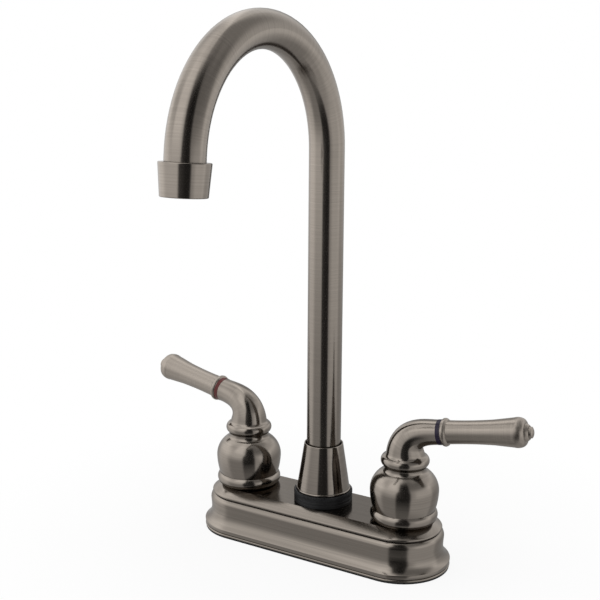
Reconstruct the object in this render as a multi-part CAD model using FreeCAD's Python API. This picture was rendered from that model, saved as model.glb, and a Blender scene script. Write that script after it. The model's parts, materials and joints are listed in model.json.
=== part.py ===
"""Gooseneck bar faucet: a deck plate with two quarter-turn lever valves and a swivelling arched spout.

Millimetres. +Z is up, the spout reaches towards -Y (the user), the cold valve is on +X and the hot
valve on -X. The origin is on the deck plane, on the spout's axis. Every piece is written as its own
STEP file, as it would lie on a bench after the faucet is taken apart.
"""
import FreeCAD, Part
import math
import os

# ---------------------------------------------------------------- driving dimensions
valve_centres = 101.6        # between the valve axes: the 4 in centre-set standard

running_fit = 0.05           # radial play of a turning piece in its bore
axial_play = 0.10            # play along the axis between a turning face and a fixed one
easy_fit = 0.3               # room where a piece only passes through or over another

# deck gasket and cover plate; half widths are taken from the line through the valve axes
gasket_thickness = 1.3
gasket_inset = 0.4           # how far the gasket hides under the cover's lip
plate_length = 152.4
plate_foot_half = 27.3       # over the foot
plate_wall_half = 23.4       # over the wall, just above the flare
plate_ledge_half = 23.8      # over the wall, just under the ledge
plate_ledge_round = 2.2      # height of the rounded edge from the wall up to the crease
plate_moulding_half = 22.7   # over the rounded top moulding
plate_top_half = 17.0        # over the flat top
plate_top_z = 25.9
plate_wall = 1.6
plate_lip_height = 3.5       # of the upright edge of the foot
plate_flare_height = 8.4     # from the lip up to where the wall is upright
plate_flare_hollow = 0.95
plate_moulding_height = 5.5  # from the foot of the crease up to the top
plate_moulding_nose_r = 0.8  # of the moulding's outer edge
plate_moulding_turn = 36.0   # slope in degrees at which that edge passes into the wide crown
plate_crease_depth = 1.1     # of the crease under the moulding
plate_crease_height = 1.6

# waterway casting
shank_r = 10.45              # the half-inch pipe thread on the tails
shank_length = 52.0          # below the deck plane
shank_bore_r = 6.35
shank_groove_depth = 0.8     # thread run-out between the nut and the supply end
shank_groove_width = 2.0
supply_thread_length = 14.0
tower_r = 12.0
tower_height = 6.4           # of the threaded tower above the cover
casting_foot_r = 17.0
casting_foot_thickness = 4.0
casting_room = 1.0           # least room between the casting's foot and the cover's inner wall
bridge_r = 6.5               # the cross tube between the towers and the spout socket
bridge_bore_r = 4.0
bridge_z = 14.5
socket_r = 11.6              # the threaded spout socket
socket_height = 15.8         # above the cover

# deck fastening
counter_thickness = 15.0     # what the nuts are drawn up to
deck_washer_flats = 32.0
deck_washer_thickness = 2.0
deck_nut_flats = 30.0
deck_nut_thickness = 8.0

# valve cartridges
cartridge_r = 9.2
chamber_floor_z = 7.0
seal_thickness = 2.0
disc_thickness = 2.5
disc_r = 7.8
port_r = 5.6
port_half_angle = 42.0       # of the two ports in each disc, in degrees
port_web_r = 1.4             # of the solid middle between the ports
cartridge_hex_flats = 20.0
cartridge_hex_height = 6.0
window_width = 7.0
window_height = 5.0
lock_nut_flats = 26.4
lock_nut_thickness = 4.4
stem_r = 5.0
driver_height = 3.0          # of the stem's foot on the moving disc
driver_r = 7.4
o_ring_section = 1.8
spline_r = 4.0
spline_length = 15.0
stem_neck_height = 0.9       # of the stem's plain neck above the cartridge

# handle hub: a bell that turns on the cover, then an elbow; heights are above the cover
bell_gap = 0.3
bell_foot_r = 16.3
bell_bead_r = 18.25
bell_bead_height = 4.2
bell_waist_r = 16.95
bell_waist_height = 6.7
bell_belly_r = 18.6
bell_belly_height = 17.0
bell_belly_swell = 0.35
bell_shoulder_round = 12.6
bell_neck_foot_r = 12.2      # where the shoulder ends
bell_neck_r = 11.5
bell_neck_height = 29.3
bell_crown_r = 12.3          # half way out to the collar's edge, where its two rounds start
bell_collar_r = 13.1
bell_collar_height = 33.9
bell_collar_half = 2.1       # from the collar's middle to where it meets the neck
bell_collar_slant = 0.2      # how much wider its foot is than its head, half of it
bell_crown_hollow = 0.35     # between the collar and the elbow
bell_skirt_wall = 1.5
bell_roof_height = 14.4      # of the hollow's roof
elbow_root_r = 10.3
elbow_root_height = 38.0
elbow_bend_radius = 13.0
elbow_end_r = 6.65
elbow_straight = 7.8
elbow_stations = 8
lever_rise = 9.0             # degrees above level
lever_sweep = 5.3            # degrees towards the back of the faucet
set_screw_r = 2.0
set_screw_length = 6.5
set_screw_key_flats = 2.0
set_screw_key_depth = 2.5
set_screw_height = 22.8

# index ring, stud and lever; lengths run from the elbow's end along the lever
ring_thickness = 2.3
ring_r = 6.75
stud_r = 3.0
stud_depth = 8.0             # into the elbow and into the lever
lever_bead_r = 7.5
lever_bead_length = 2.8
lever_bead_round = 0.75      # how far the bead's round stands out of its flanks
lever_throat_r = 6.27
lever_throat_gap = 0.3       # from the bead to the throat
lever_neck_r = 6.12
lever_neck_at = 12.5
lever_shank_r = 6.6
lever_shank_at = 28.0
lever_swell_r = 7.85
lever_swell_at = 40.8
lever_swell_foot_r = 7.65
lever_swell_foot = 2.4       # from the swelling's foot to its widest place
lever_swell_end_r = 7.4
lever_swell_end = 1.9        # from its widest place to the round end
lever_shoulder_round = 0.38  # bulge of the round end
lever_step_r = 4.7
lever_step_at = 44.5
lever_step_depth = 0.45      # of the step between the round end and the finial
lever_finial_round = 0.12
lever_finial_r = 3.6         # where the finial's cone meets its button
lever_finial_at = 46.3
lever_button_r = 3.1
lever_dome_r = 2.9           # of the dome on the button
lever_dome_height = 0.9
lever_length = 48.4

# spout
tube_r = 9.5
tube_wall = 1.0
bend_start_z = 222.3
bend_radius = 60.4
bend_angle = 175.5           # the outlet leans a little outwards
outlet_straight = 2.5        # from the arch to the aerator's rim
ferrule_flange_r = 11.2
ferrule_flange_thickness = 2.6
ferrule_spigot_length = 13.0
ferrule_wall = 1.4
glide_thickness = 0.8
nut_bead_round = 0.6         # how far the bead round the nut's foot stands out
nut_bead_height = 1.2
nut_cone_r = 14.7
nut_top_r = 10.85
nut_height = 27.0
nut_mouth_gap = 0.6          # round the tube
collar_r = 16.35
collar_height = 6.8

# aerator
aerator_top_r = 12.1
aerator_foot_r = 11.0
aerator_length = 15.5
aerator_edge = 0.5           # of the rounded edges at both ends
aerator_lip = 1.3            # of the inward lip that holds the insert
tube_grip = 5.0              # of the tube's end inside the aerator
aerator_washer_height = 1.8
insert_wall = 1.2
insert_floor = 2.0
insert_slots = 8
insert_slot_width = 1.4
insert_slot_start = 2.8
insert_slot_end = 7.4

# ---------------------------------------------------------------- places worked out from the sizes
valve_x = valve_centres / 2
cover_foot_z = gasket_thickness
nut_foot_z = plate_top_z + collar_height
socket_top_z = plate_top_z + socket_height
spigot_r = tube_r - tube_wall / 2
flange_foot_z = socket_top_z + glide_thickness + axial_play
tube_foot_z = flange_foot_z + ferrule_flange_thickness
spigot_foot_z = flange_foot_z - ferrule_spigot_length
nut_shoulder_z = tube_foot_z + axial_play
tower_top_z = plate_top_z + tower_height
fixed_disc_z = chamber_floor_z + seal_thickness
moving_disc_z = fixed_disc_z + disc_thickness + axial_play
driver_z = moving_disc_z + disc_thickness
stem_seal_z = driver_z + driver_height
cartridge_top_z = tower_top_z + cartridge_hex_height
spline_foot_z = cartridge_top_z + stem_neck_height
spline_top_z = spline_foot_z + spline_length
nut_face_z = -counter_thickness - deck_washer_thickness
elbow_turn = 90 - lever_rise


def at(x, y, z):
    return FreeCAD.Vector(x, y, z)


ORIGIN = at(0, 0, 0)
ALONG_X = at(1, 0, 0)
ALONG_Y = at(0, 1, 0)
UP = at(0, 0, 1)


# ---------------------------------------------------------------- ways of making a form
def corner(step):
    """Where a step of an outline ends: a step is a (radius, height) pair, or a pair of such pairs."""
    return step[1] if isinstance(step[0], tuple) else step


def round_to(start, end, bulge):
    """Step along an arc from start to end that stands out by bulge to the right of that direction."""
    (r0, z0), (r1, z1) = start, end
    chord = math.hypot(r1 - r0, z1 - z0)
    through = ((r0 + r1) / 2 + (z1 - z0) / chord * bulge, (z0 + z1) / 2 - (r1 - r0) / chord * bulge)
    return through, end


def quarter_round(start, end):
    """Step that turns through a right angle on its way from start to end, round side out."""
    chord = math.hypot(end[0] - start[0], end[1] - start[1])
    return round_to(start, end, chord / 2 * math.tan(math.radians(22.5)))


def level_off(start, end):
    """Step along a round-side-out arc that arrives level at end, which is higher and further in."""
    run, rise = start[0] - end[0], end[1] - start[1]
    radius = (run ** 2 + rise ** 2) / (2 * rise)
    sagitta = radius - math.sqrt(radius ** 2 - (run ** 2 + rise ** 2) / 4)
    return round_to(start, end, sagitta)


def section(outline):
    """Face in the X-Z plane. A pair is reached by a line, two pairs by an arc through the first."""
    edges = []
    for before, step in zip(outline[-1:] + outline[:-1], outline):
        start, end = (at(r, 0, z) for r, z in (corner(before), corner(step)))
        if isinstance(step[0], tuple):
            edges.append(Part.Arc(start, at(step[0][0], 0, step[0][1]), end).toShape())
        else:
            edges.append(Part.makeLine(start, end))
    return Part.Face(Part.Wire(edges))


def turned(outline, x=0.0):
    """A piece turned on a lathe about the upright line through (x, 0)."""
    piece = section(outline).revolve(ORIGIN, UP, 360)
    piece.translate(at(x, 0, 0))
    return piece


def ring(inner_r, outer_r, foot_z, top_z, x=0.0):
    return turned([(inner_r, foot_z), (outer_r, foot_z), (outer_r, top_z), (inner_r, top_z)], x)


def rod(r, foot_z, top_z, x=0.0):
    return Part.makeCylinder(r, top_z - foot_z, at(x, 0, foot_z), UP)


def prism(flats, sides, foot_z, top_z, x=0.0):
    """Upright bar with flat sides; flats is the width across two of them."""
    corner_r = flats / 2 / math.cos(math.pi / sides)
    turns = [2 * math.pi * i / sides for i in range(sides)]
    corners = [at(x + corner_r * math.cos(t), corner_r * math.sin(t), foot_z) for t in turns]
    return Part.Face(Part.makePolygon(corners + corners[:1])).extrude(at(0, 0, top_z - foot_z))


def flat_ring(flats, sides, bore_r, foot_z, top_z, x):
    """Nut or washer with flat sides, and a plain bore at the thread's outer diameter."""
    return prism(flats, sides, foot_z, top_z, x).cut(rod(bore_r, foot_z, top_z, x))


def circle(centre, direction, r):
    return Part.Wire(Part.Circle(centre, direction, r).toShape())


def racetrack(outline):
    """The form that a half-width outline leaves when it runs round the plate's ends and sides."""
    end_x = plate_length / 2 - plate_foot_half
    profile = section(outline)
    quarters = []
    for turn, x in ((-90, end_x), (90, -end_x)):
        rounded = profile.revolve(ORIGIN, UP, 180)
        rounded.rotate(ORIGIN, UP, turn)
        rounded.translate(at(x, 0, 0))
        side = profile.copy()
        side.rotate(ORIGIN, UP, turn)
        side.translate(at(-end_x, 0, 0))
        quarters += [rounded, side.extrude(at(2 * end_x, 0, 0))]
    return quarters[0].fuse(quarters[1:]).removeSplitter()


def both(make):
    """The hot and the cold one of a fixed piece, as two solids of one node."""
    return Part.makeCompound([make(-valve_x), make(valve_x)])


# ---------------------------------------------------------------- deck plate
def deck_gasket():
    """Rubber sheet under the cover, open round the two tails."""
    half = plate_foot_half - gasket_inset
    sheet = racetrack([(0, 0), (half, 0), (half, gasket_thickness), (0, gasket_thickness)])
    holes = [rod(shank_r + easy_fit, 0, gasket_thickness, x) for x in (-valve_x, valve_x)]
    return sheet.cut(holes)


def base_cover():
    """Die-cast shell: upright foot, hollow flare, long wall, crease and rounded top moulding."""
    lip_top = cover_foot_z + plate_lip_height
    flare_top = lip_top + plate_flare_height
    crease_foot = plate_top_z - plate_moulding_height
    crease_top = crease_foot + plate_crease_height
    crease_half = plate_moulding_half - plate_crease_depth
    roof_z = plate_top_z - plate_wall
    foot, wall = (plate_foot_half, lip_top), (plate_wall_half, flare_top)
    edge = (plate_ledge_half, crease_foot - plate_ledge_round)
    nose_r, turn = plate_moulding_nose_r, math.radians(plate_moulding_turn)
    nose_x, nose_z = plate_moulding_half - nose_r, crease_top + nose_r
    nose_tip = (plate_moulding_half, nose_z)
    nose_end = (nose_x + nose_r * math.cos(turn), nose_z + nose_r * math.sin(turn))
    outside = [(0, cover_foot_z), (plate_foot_half, cover_foot_z), foot,
               round_to(foot, wall, -plate_flare_hollow), edge,
               quarter_round(edge, (crease_half, crease_foot)),
               (crease_half, crease_top), (nose_x, crease_top), (nose_tip, nose_end),
               level_off(nose_end, (plate_top_half, plate_top_z)), (0, plate_top_z)]
    hollow_half = crease_half - plate_wall
    inside = [(0, cover_foot_z), (plate_foot_half - plate_wall, cover_foot_z),
              (plate_foot_half - plate_wall, lip_top), (hollow_half, flare_top),
              (hollow_half, crease_foot), (plate_top_half - plate_wall, roof_z), (0, roof_z)]
    holes = [rod(tower_r + easy_fit, cover_foot_z, plate_top_z, x) for x in (-valve_x, valve_x)]
    holes.append(rod(socket_r + easy_fit, cover_foot_z, plate_top_z))
    return racetrack(outside).cut([racetrack(inside)] + holes)


# ---------------------------------------------------------------- waterway and deck fastening
def waterway_body():
    """Brass casting: two threaded towers on threaded tails, a cross tube and the spout socket."""
    tail_z = -shank_length
    groove_z = tail_z + supply_thread_length
    foot_top = cover_foot_z + casting_foot_thickness
    room_half = plate_foot_half - plate_wall - casting_room
    room = racetrack([(0, cover_foot_z), (room_half, cover_foot_z), (room_half, foot_top), (0, foot_top)])
    cross_start = at(-valve_x, 0, bridge_z)
    body = Part.makeCylinder(bridge_r, valve_centres, cross_start, ALONG_X)
    added = [rod(socket_r, bridge_z - bridge_r, socket_top_z)]
    bored = [Part.makeCylinder(bridge_bore_r, valve_centres, cross_start, ALONG_X),
             rod(spigot_r + running_fit, bridge_z - bridge_bore_r, socket_top_z)]
    for x in (-valve_x, valve_x):
        added += [rod(casting_foot_r, cover_foot_z, foot_top, x).common(room),
                  rod(tower_r, cover_foot_z, tower_top_z, x),
                  rod(shank_r, tail_z, cover_foot_z, x)]
        bored += [rod(shank_bore_r, tail_z, chamber_floor_z, x),
                  rod(cartridge_r, chamber_floor_z, tower_top_z, x),
                  ring(shank_r - shank_groove_depth, shank_r + easy_fit, groove_z,
                       groove_z + shank_groove_width, x)]
    return body.fuse(added).cut(bored)


def mounting_nuts():
    return both(lambda x: flat_ring(deck_nut_flats, 6, shank_r, nut_face_z - deck_nut_thickness,
                                    nut_face_z, x))


def mounting_washers():
    return both(lambda x: flat_ring(deck_washer_flats, 8, shank_r + easy_fit, nut_face_z,
                                    -counter_thickness, x))


def cover_lock_nuts():
    return both(lambda x: flat_ring(lock_nut_flats, 8, tower_r, plate_top_z,
                                    plate_top_z + lock_nut_thickness, x))


# ---------------------------------------------------------------- valve cartridges
def cartridge_body(x):
    """Brass bush: hex head on the tower's rim, skirt round the discs with a water window each side."""
    stem_hole_r = stem_r + running_fit
    seal_top = stem_seal_z + o_ring_section + axial_play
    bush = rod(cartridge_r, fixed_disc_z, tower_top_z, x)
    bush = bush.fuse(prism(cartridge_hex_flats, 6, tower_top_z, cartridge_top_z, x))
    window = Part.makeBox(2 * cartridge_r, window_width, window_height,
                          at(x - cartridge_r, -window_width / 2, bridge_z - window_height / 2))
    return bush.cut([rod(disc_r + running_fit, fixed_disc_z, seal_top, x),
                     rod(stem_hole_r, seal_top, cartridge_top_z, x), window])


def seat_seal(x):
    return ring(shank_bore_r, disc_r, chamber_floor_z, fixed_disc_z, x)


def ported_disc(foot_z, port_turn, x):
    """Ceramic disc with two opposite ports; port_turn is where they point, in degrees."""
    top_z = foot_z + disc_thickness
    half = math.radians(port_half_angle)
    reach = port_r / math.cos(half)
    wedges = []
    for side in (0, 180):
        turn = math.radians(port_turn + side)
        tip = at(x, 0, foot_z)
        ends = [tip + at(math.cos(a), math.sin(a), 0) * reach for a in (turn - half, turn + half)]
        wedge = Part.Face(Part.makePolygon([tip] + ends + [tip]))
        wedges.append(wedge.extrude(at(0, 0, disc_thickness)))
    web = rod(port_web_r, foot_z, top_z, x)
    ports = [wedge.common(rod(port_r, foot_z, top_z, x)).cut(web) for wedge in wedges]
    return rod(disc_r, foot_z, top_z, x).cut(ports)


def stem(x):
    """Brass spindle: driver foot on the moving disc, plain neck, spline for the handle."""
    return turned([(0, driver_z), (driver_r, driver_z), (driver_r, stem_seal_z),
                   (stem_r, stem_seal_z), (stem_r, spline_foot_z), (spline_r, spline_foot_z),
                   (spline_r, spline_top_z), (0, spline_top_z)], x)


def stem_o_ring(x):
    return ring(stem_r, disc_r, stem_seal_z, stem_seal_z + o_ring_section, x)


# ---------------------------------------------------------------- handles
def handle_place(piece, side):
    """Put a handle piece made at the origin, lever towards +X, on the cold or the hot valve."""
    placed = piece.copy()
    placed.rotate(ORIGIN, UP, lever_sweep)
    placed.translate(at(valve_x, 0, 0))
    if side == "hot":
        placed = placed.mirror(ORIGIN, ALONG_X)
    return placed


def elbow_point(turn):
    """Centre and direction of the elbow where it has turned by some degrees from upright."""
    t = math.radians(turn)
    centre = at(elbow_bend_radius * (1 - math.cos(t)), 0,
                plate_top_z + elbow_root_height + elbow_bend_radius * math.sin(t))
    return centre, at(math.sin(t), 0, math.cos(t))


def along_lever(piece):
    """Lay a piece made along +Z from the origin on the end of the elbow, along the lever."""
    bend_end, direction = elbow_point(elbow_turn)
    laid = piece.copy()
    laid.rotate(ORIGIN, ALONG_Y, elbow_turn)
    laid.translate(bend_end + direction * elbow_straight)
    return laid


def bell():
    """Turned part of the hub: beaded foot, waist, belly, drawn-in neck and collar."""
    top = plate_top_z
    foot = (bell_foot_r, top + bell_gap)
    waist = (bell_waist_r, top + bell_waist_height)
    belly = (bell_belly_r, top + bell_belly_height)
    # the shoulder is one round, upright at the belly, down to the neck's upper hollow
    drop = bell_belly_r - bell_neck_foot_r
    rise = math.sqrt(bell_shoulder_round ** 2 - (bell_shoulder_round - drop) ** 2)
    mid_turn = math.asin(rise / bell_shoulder_round) / 2
    shoulder_mid = (bell_belly_r - bell_shoulder_round * (1 - math.cos(mid_turn)),
                    belly[1] + bell_shoulder_round * math.sin(mid_turn))
    neck_foot = (bell_neck_foot_r, belly[1] + rise)
    neck = (bell_neck_r, top + bell_neck_height)
    crown_z = top + bell_collar_height
    crown_foot = (bell_crown_r + bell_collar_slant, crown_z - bell_collar_half)
    crown_head = (bell_crown_r - bell_collar_slant, crown_z + bell_collar_half)
    root = (elbow_root_r, top + elbow_root_height)
    return turned([(0, foot[1]), foot, ((bell_bead_r, top + bell_bead_height), waist),
                   round_to(waist, belly, bell_belly_swell), (shoulder_mid, neck_foot),
                   (neck, crown_foot), ((bell_collar_r, crown_z), crown_head),
                   round_to(crown_head, root, -bell_crown_hollow), (0, root[1])])


def elbow():
    """Tapered bend from the collar to the lever, as a loft through circles along its arc."""
    rings = []
    for i in range(elbow_stations + 1):
        share = i / elbow_stations
        centre, direction = elbow_point(elbow_turn * share)
        rings.append(circle(centre, direction, elbow_root_r + (elbow_end_r - elbow_root_r) * share))
    bend_end, direction = elbow_point(elbow_turn)
    straight = Part.makeCylinder(elbow_end_r, elbow_straight, bend_end, direction)
    return Part.makeLoft(rings, True, True).fuse(straight)


def handle_hub():
    """Cast hub: bell and elbow in one, hollow below, bored for the spline, the screw and the stud."""
    roof_z = plate_top_z + bell_roof_height
    screw_at = at(0, 0, plate_top_z + set_screw_height)
    hollow = rod(bell_foot_r - bell_skirt_wall, plate_top_z, roof_z)
    screw_hole = Part.makeCylinder(set_screw_r, bell_belly_r, screw_at, ALONG_Y)
    stud_hole = along_lever(rod(stud_r, -stud_depth, 0))
    return bell().fuse(elbow()).cut([hollow, rod(spline_r, roof_z, spline_top_z), screw_hole, stud_hole])


def set_screw():
    """Grub screw in the back of the bell that bites on the spline, with a hexagon socket."""
    screw = rod(set_screw_r, spline_r, spline_r + set_screw_length)
    socket_foot = spline_r + set_screw_length - set_screw_key_depth
    screw = screw.cut(prism(set_screw_key_flats, 6, socket_foot, spline_r + set_screw_length))
    screw.rotate(ORIGIN, ALONG_X, -90)
    screw.translate(at(0, 0, plate_top_z + set_screw_height))
    return screw


def index_ring():
    """Coloured ring between the elbow and the lever."""
    return along_lever(ring(stud_r, ring_r, 0, ring_thickness))


def lever_stud():
    return along_lever(rod(stud_r, -stud_depth, ring_thickness + stud_depth))


def lever():
    """Turned lever: round bead, drawn-in neck, swelling grip, round end and a stepped finial."""
    foot = ring_thickness
    flank_r = lever_bead_r - lever_bead_round
    bead_foot, bead_end = (flank_r, foot), (flank_r, foot + lever_bead_length)
    throat = (lever_throat_r, bead_end[1] + lever_throat_gap)
    neck = (lever_neck_r, foot + lever_neck_at)
    shank = (lever_shank_r, foot + lever_shank_at)
    swell = (lever_swell_r, foot + lever_swell_at)
    swell_foot = (lever_swell_foot_r, swell[1] - lever_swell_foot)
    swell_end = (lever_swell_end_r, swell[1] + lever_swell_end)
    shoulder = (lever_step_r + lever_step_depth, foot + lever_step_at)
    step = (lever_step_r, shoulder[1])
    cone_end = (lever_finial_r, foot + lever_finial_at)
    tip = (0, foot + lever_length)
    # the dome is part of a ball whose centre lies on the axis
    dome_turn = math.atan(lever_dome_height / lever_dome_r)
    ball_r = lever_dome_r / math.sin(2 * dome_turn)
    dome_foot = (lever_dome_r, tip[1] - lever_dome_height)
    dome_mid = (ball_r * math.sin(dome_turn), tip[1] - ball_r * (1 - math.cos(dome_turn)))
    blank = turned([(0, foot), bead_foot, round_to(bead_foot, bead_end, lever_bead_round), throat,
                    (neck, shank), swell_foot, (swell, swell_end),
                    round_to(swell_end, shoulder, lever_shoulder_round), step,
                    round_to(step, cone_end, lever_finial_round), (lever_button_r, cone_end[1]), dome_foot,
                    (dome_mid, tip)])
    return along_lever(blank.cut(rod(stud_r, foot, foot + stud_depth)))


# ---------------------------------------------------------------- spout
def arch_end():
    """Centre and direction of the tube where its arch ends."""
    t = math.radians(bend_angle)
    centre = at(0, -bend_radius * (1 - math.cos(t)), bend_start_z + bend_radius * math.sin(t))
    return centre, at(0, -math.sin(t), math.cos(t))


def bent_rod(r, foot_z, overrun):
    """Round bar along the gooseneck: upright leg, arch, and a short straight end."""
    leg = rod(r, foot_z, bend_start_z)
    mouth = Part.Face(circle(at(0, 0, bend_start_z), UP, r))
    arch = mouth.revolve(at(0, -bend_radius, bend_start_z), ALONG_X, bend_angle)
    end, direction = arch_end()
    outlet = Part.makeCylinder(r, outlet_straight + overrun, end, direction)
    return leg.fuse([arch, outlet]).removeSplitter()


def gooseneck_tube():
    bore = bent_rod(tube_r - tube_wall, tube_foot_z, tube_grip)
    return bent_rod(tube_r, tube_foot_z, tube_grip).cut(bore)


def spout_ferrule():
    """Bush brazed under the tube: flange trapped by the cone nut, spigot sealed in the socket."""
    groove_r = spigot_r - o_ring_section
    groove_top = spigot_foot_z + o_ring_section
    bore_r = groove_r - ferrule_wall
    return turned([(bore_r, spigot_foot_z), (groove_r, spigot_foot_z), (groove_r, groove_top),
                   (spigot_r, groove_top), (spigot_r, flange_foot_z),
                   (ferrule_flange_r, flange_foot_z), (ferrule_flange_r, tube_foot_z),
                   (bore_r, tube_foot_z)])


def spout_o_ring():
    return ring(spigot_r - o_ring_section, spigot_r, spigot_foot_z, spigot_foot_z + o_ring_section)


def spout_glide_ring():
    """Slippery washer between the socket's rim and the ferrule's flange."""
    return ring(spigot_r + running_fit, ferrule_flange_r, socket_top_z, socket_top_z + glide_thickness)


def spout_collar_ring():
    return ring(socket_r + easy_fit, collar_r, plate_top_z, nut_foot_z)


def spout_cone_nut():
    """Tall tapered nut on the socket's thread; its shoulder keeps the ferrule down."""
    top_z = nut_foot_z + nut_height
    hole_r = tube_r + nut_mouth_gap
    rim_half = (nut_top_r - hole_r) / 2
    bead_foot, bead_top = (nut_cone_r, nut_foot_z), (nut_cone_r, nut_foot_z + nut_bead_height)
    rim_outer, rim_inner = (nut_top_r, top_z - rim_half), (hole_r, top_z - rim_half)
    return turned([(socket_r, nut_foot_z), bead_foot,
                   round_to(bead_foot, bead_top, nut_bead_round), rim_outer,
                   round_to(rim_outer, rim_inner, rim_half), (hole_r, nut_shoulder_z),
                   (socket_r, nut_shoulder_z)])


# ---------------------------------------------------------------- aerator
def along_outlet(piece):
    """Lay a piece made along +Z from the origin on the outlet, from the aerator's rim."""
    end, direction = arch_end()
    laid = piece.copy()
    laid.rotate(ORIGIN, ALONG_X, bend_angle)
    laid.translate(end + direction * outlet_straight)
    return laid


def aerator_shell():
    """Tapered collar screwed on the tube's end, with an inward lip that holds the insert."""
    lip_r = tube_r - aerator_lip
    lip_foot = aerator_length - aerator_lip
    top, head = (aerator_top_r - aerator_edge, 0), (aerator_top_r, aerator_edge)
    foot = (aerator_foot_r, aerator_length - aerator_edge)
    end = (aerator_foot_r - aerator_edge, aerator_length)
    return along_outlet(turned([(tube_r, 0), top, quarter_round(top, head), foot,
                                quarter_round(foot, end), (lip_r, aerator_length),
                                (lip_r, lip_foot), (tube_r, lip_foot)]))


def aerator_washer():
    return along_outlet(ring(tube_r - tube_wall - aerator_lip, tube_r - running_fit, tube_grip,
                             tube_grip + aerator_washer_height))


def aerator_insert():
    """Plastic flow straightener: a cup whose floor is open in spokes."""
    head = tube_grip + aerator_washer_height
    foot = aerator_length - aerator_lip
    outer_r = tube_r - running_fit
    cuts = [rod(outer_r - insert_wall, head, foot - insert_floor)]
    for i in range(insert_slots):
        slot = Part.makeBox(insert_slot_end - insert_slot_start, insert_slot_width, insert_floor,
                            at(insert_slot_start, -insert_slot_width / 2, foot - insert_floor))
        slot.rotate(ORIGIN, UP, 360 * i / insert_slots)
        cuts.append(slot)
    return along_outlet(rod(outer_r, head, foot).cut(cuts))


# ---------------------------------------------------------------- the whole faucet
def pieces():
    """Every piece at rest, by name: spout over the front, both levers closed."""
    made = {
        "deck_gasket": deck_gasket(),
        "base_cover": base_cover(),
        "waterway_body": waterway_body(),
        "mounting_nuts": mounting_nuts(),
        "mounting_washers": mounting_washers(),
        "cover_lock_nuts": cover_lock_nuts(),
        "seat_seals": both(seat_seal),
        "fixed_discs": both(lambda x: ported_disc(fixed_disc_z, 0, x)),
        "spout_collar_ring": spout_collar_ring(),
        "spout_cone_nut": spout_cone_nut(),
        "spout_glide_ring": spout_glide_ring(),
        "gooseneck_tube": gooseneck_tube(),
        "spout_ferrule": spout_ferrule(),
        "spout_o_ring": spout_o_ring(),
        "aerator_shell": aerator_shell(),
        "aerator_washer": aerator_washer(),
        "aerator_insert": aerator_insert(),
    }
    handle = {"handle_hub": handle_hub(), "index_ring": index_ring(), "lever": lever(),
              "lever_stud": lever_stud(), "set_screw": set_screw()}
    for side, x in (("hot", -valve_x), ("cold", valve_x)):
        made[side + "_cartridge_body"] = cartridge_body(x)
        made[side + "_moving_disc"] = ported_disc(moving_disc_z, 90, x)
        made[side + "_stem"] = stem(x)
        made[side + "_stem_o_ring"] = stem_o_ring(x)
        for name, piece in handle.items():
            made[side + "_" + name] = handle_place(piece, side)
    return made


os.makedirs("parts", exist_ok=True)
for name, piece in pieces().items():
    piece.exportStep("parts/" + name + ".step")
    print(name, len(piece.Solids), "solid(s)", round(piece.Volume), "mm3, valid:", piece.isValid())
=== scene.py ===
# %% [markdown]
# # A gooseneck bar faucet in satin nickel
# The imported model already holds every piece at its real size and in its real place, in metres. What is left
# to do here is what Blender is good at: the finish of each piece, finer skins for the plate, the hubs and the
# ring under the spout, a studio round it all and a camera. We start by loading that model as a fixed frame, and
# read sizes from the boxes of its pieces.

# %% Load the faucet
import cmath
import json
import math
import bmesh
import bpy
from mathutils import Matrix, Vector


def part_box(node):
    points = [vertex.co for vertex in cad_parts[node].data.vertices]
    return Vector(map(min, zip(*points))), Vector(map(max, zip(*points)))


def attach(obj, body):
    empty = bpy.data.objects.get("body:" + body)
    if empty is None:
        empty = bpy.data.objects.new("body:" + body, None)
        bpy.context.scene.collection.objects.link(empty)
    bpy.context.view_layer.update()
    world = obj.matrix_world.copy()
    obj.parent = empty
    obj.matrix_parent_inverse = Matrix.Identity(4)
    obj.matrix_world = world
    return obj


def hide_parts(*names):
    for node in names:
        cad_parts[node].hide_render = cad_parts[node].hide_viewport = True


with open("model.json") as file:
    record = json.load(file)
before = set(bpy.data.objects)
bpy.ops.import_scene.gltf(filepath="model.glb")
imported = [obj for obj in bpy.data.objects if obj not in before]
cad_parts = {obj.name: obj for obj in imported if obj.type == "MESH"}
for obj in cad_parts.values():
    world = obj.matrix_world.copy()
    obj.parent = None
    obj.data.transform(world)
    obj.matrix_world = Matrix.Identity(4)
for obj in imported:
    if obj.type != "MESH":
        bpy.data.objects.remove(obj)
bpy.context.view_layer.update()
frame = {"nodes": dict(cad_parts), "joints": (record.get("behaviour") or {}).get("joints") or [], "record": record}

scene = bpy.context.scene
parts = frame["nodes"]

# %% [markdown]
# ## Sizes that several cells share
# Lengths are written in millimetres, as a maker would, and MM turns them into Blender's metres. What the
# model can tell, such as where a joint turns or how far a piece reaches, is read from it; a bend's radius and
# angle are not in it, so those stand here. The two sides are mirror images, so a sign of -1 or +1 on X tells
# the hot valve from the cold one.

# %% Shared sizes
MM = 0.001
sides = {"hot": -1, "cold": 1}


def corners_mm(name):
    """Lowest and highest corner of a piece of the model."""
    return [[round(v / MM, 3) for v in corner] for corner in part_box(name)]


joints = {joint["name"]: joint for joint in frame["joints"]}
mounts = {mount["name"]: mount for mount in frame["record"]["mounts"]}
valve_x = joints["cold_handle_turn"]["pos_m"][0] / MM
plate_reach, plate_half, plate_top = corners_mm("base_cover")[1]
arch_radius, arch_foot = 60.4, 222.3
arch_turn = math.radians(175.5)
elbow_root_height, elbow_radius = 38.0, 13.0
lever_rise, lever_sweep = math.radians(9.0), math.radians(5.3)
elbow_turn = math.pi / 2 - lever_rise
print("valves", 2 * valve_x, "mm apart, plate", 2 * plate_reach, "by", 2 * plate_half, "mm")

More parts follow.
